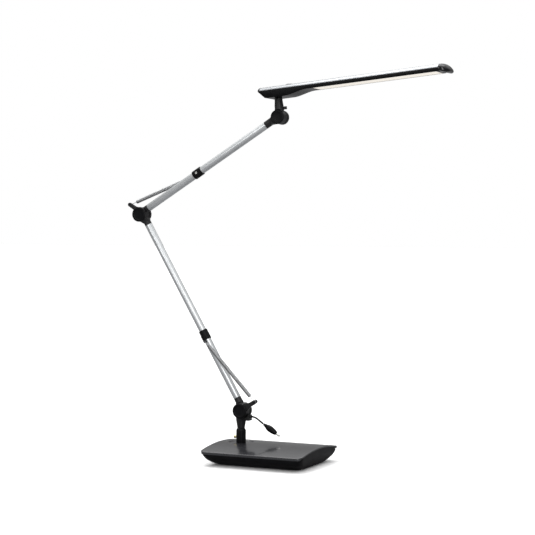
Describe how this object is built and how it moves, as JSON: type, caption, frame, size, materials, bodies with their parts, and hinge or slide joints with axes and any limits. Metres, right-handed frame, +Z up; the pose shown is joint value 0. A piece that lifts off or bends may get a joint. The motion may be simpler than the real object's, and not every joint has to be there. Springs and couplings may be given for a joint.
{
  "type": "swing arm desk lamp",
  "caption": "Desk lamp with a weighted base, a turning mast, spring-balanced tubular arms and a slim tilting bar head with an arched metal top.",
  "frame": {"origin": "on the desk under the centre of the base, on the underside of the base's pad", "axes": "+X from the mast towards the tip of the head at rest, +Y to the back, +Z up"},
  "size_m": [0.6059, 0.161, 0.6647],
  "materials": {
    "gloss_black": "black paint between satin and gloss",
    "satin_black": "satin black",
    "cast_black": "black powder coat on die castings",
    "head_black": "half-gloss black",
    "piano_black": "high-gloss black",
    "aluminium": "satin drawn tube",
    "head_silver": "fine brushed and anodised",
    "zinc_steel": "zinc plated",
    "black_steel": "blackened",
    "raw_steel": "raw plate, out of sight",
    "spring_steel": "bright spring wire",
    "brass": "dull brass",
    "rubber": "soft black",
    "nylon": "natural nylon",
    "cable_black": "smooth cable jacket",
    "connector_black": "moulded satin black",
    "diffuser_white": "milky, lit warm white",
    "board_white": "white solder mask",
    "board_green": "green solder mask"
  },
  "bodies": {
    "base": {"base_cover": "gloss_black", "base_tray": "satin_black", "ballast_plate": "raw_steel", "base_pad": "rubber", "base_screw_1": "zinc_steel", "base_screw_2": "zinc_steel", "base_screw_3": "zinc_steel", "base_screw_4": "zinc_steel", "mast_sleeve": "satin_black", "sleeve_washer": "zinc_steel", "sleeve_nut": "zinc_steel", "sleeve_set_screw": "brass"},
    "mast": {"mast_head": "cast_black", "swivel_pin": "zinc_steel", "swivel_clip": "spring_steel", "lower_hinge_bolt": "zinc_steel", "lower_hinge_cap_front": "satin_black", "lower_hinge_cap_rear": "satin_black", "lower_hinge_washer_front": "nylon", "lower_hinge_washer_rear": "nylon", "lower_spring_screw": "black_steel", "cable_gland": "rubber", "pigtail_cord": "cable_black", "connector_body": "connector_black", "connector_tip": "zinc_steel"},
    "lower_arm": {"lower_arm_foot": "cast_black", "lower_tube": "aluminium", "lower_collar": "satin_black", "lower_collar_screw": "zinc_steel", "elbow_fork": "cast_black", "elbow_bolt": "zinc_steel", "elbow_cap_front": "satin_black", "elbow_cap_rear": "satin_black", "elbow_washer_front": "nylon", "elbow_washer_rear": "nylon", "upper_spring_screw": "black_steel"},
    "lower_spring": {"lower_spring": "spring_steel"},
    "lower_spring_hook": {"lower_spring_hook": "spring_steel"},
    "upper_arm": {"upper_arm_foot": "cast_black", "upper_tube": "aluminium", "upper_collar": "satin_black", "upper_collar_screw": "zinc_steel", "head_fork": "cast_black", "head_hinge_bolt": "zinc_steel", "head_hinge_cap_front": "satin_black", "head_hinge_cap_rear": "satin_black", "head_hinge_washer_front": "nylon", "head_hinge_washer_rear": "nylon"},
    "upper_spring": {"upper_spring": "spring_steel"},
    "upper_spring_hook": {"upper_spring_hook": "spring_steel"},
    "neck": {"neck": "cast_black"},
    "head": {"head_frame": "head_black", "head_cover": "head_silver", "diffuser": "diffuser_white", "led_board": "board_white", "end_cap": "piano_black", "driver_board": "board_green", "neck_nut": "zinc_steel"},
    "button": {"switch_button": "satin_black"}
  },
  "joints": [
    {"name": "base_swivel", "type": "hinge", "parent": "base", "child": "mast", "pos_m": [-0.0573, 0.006, 0.04], "axis": [0, 0, 1], "range_deg": [-90, 90]},
    {"name": "lower_tilt", "type": "hinge", "parent": "mast", "child": "lower_arm", "pos_m": [-0.055, 0.006, 0.0862], "axis": [0, 1, 0], "range_deg": [-35, 30], "deforming": ["lower_spring", "lower_spring_hook"]},
    {"name": "lower_spring_turn", "type": "hinge", "parent": "lower_arm", "child": "lower_spring", "pos_m": [-0.12107, -0.0058, 0.20395], "axis": [0, 1, 0], "range_deg": [-1.9, 2.2]},
    {"name": "lower_spring_stretch", "type": "slide", "parent": "lower_spring", "child": "lower_spring_hook", "axis": [0.6887, 0, -0.7251], "range_m": [-0.01738, 0.02015]},
    {"name": "elbow_tilt", "type": "hinge", "parent": "lower_arm", "child": "upper_arm", "pos_m": [-0.25306, 0.006, 0.42379], "axis": [0, 1, 0], "range_deg": [-40, 25], "deforming": ["upper_spring", "upper_spring_hook"]},
    {"name": "upper_spring_turn", "type": "hinge", "parent": "upper_arm", "child": "upper_spring", "pos_m": [-0.139, 0.0178, 0.49605], "axis": [0, 1, 0], "range_deg": [-2.81, 4.41]},
    {"name": "upper_spring_stretch", "type": "slide", "parent": "upper_spring", "child": "upper_spring_hook", "axis": [-0.9341, 0, -0.3571], "range_m": [-0.02099, 0.01337]},
    {"name": "head_tilt", "type": "hinge", "parent": "upper_arm", "child": "neck", "pos_m": [0.01624, 0.006, 0.5872], "axis": [0, 1, 0], "range_deg": [-45, 60]},
    {"name": "head_swivel", "type": "hinge", "parent": "neck", "child": "head", "pos_m": [0.01354, 0.006, 0.61929], "axis": [-0.0837, 0, 0.9965], "range_deg": [-90, 90]},
    {"name": "switch_press", "type": "slide", "parent": "head", "child": "button", "axis": [0.0837, 0, -0.9965], "range_m": [0, 0.0012], "stiffness_N_per_m": 400}
  ],
  "couplings": [
    {"joint": "lower_spring_turn", "follows": "lower_tilt", "ratio": -0.06055},
    {"joint": "lower_spring_stretch", "follows": "lower_tilt", "m_per_rad": -0.031806},
    {"joint": "upper_spring_turn", "follows": "elbow_tilt", "ratio": -0.10683},
    {"joint": "upper_spring_stretch", "follows": "elbow_tilt", "m_per_rad": 0.029126}
  ]
}
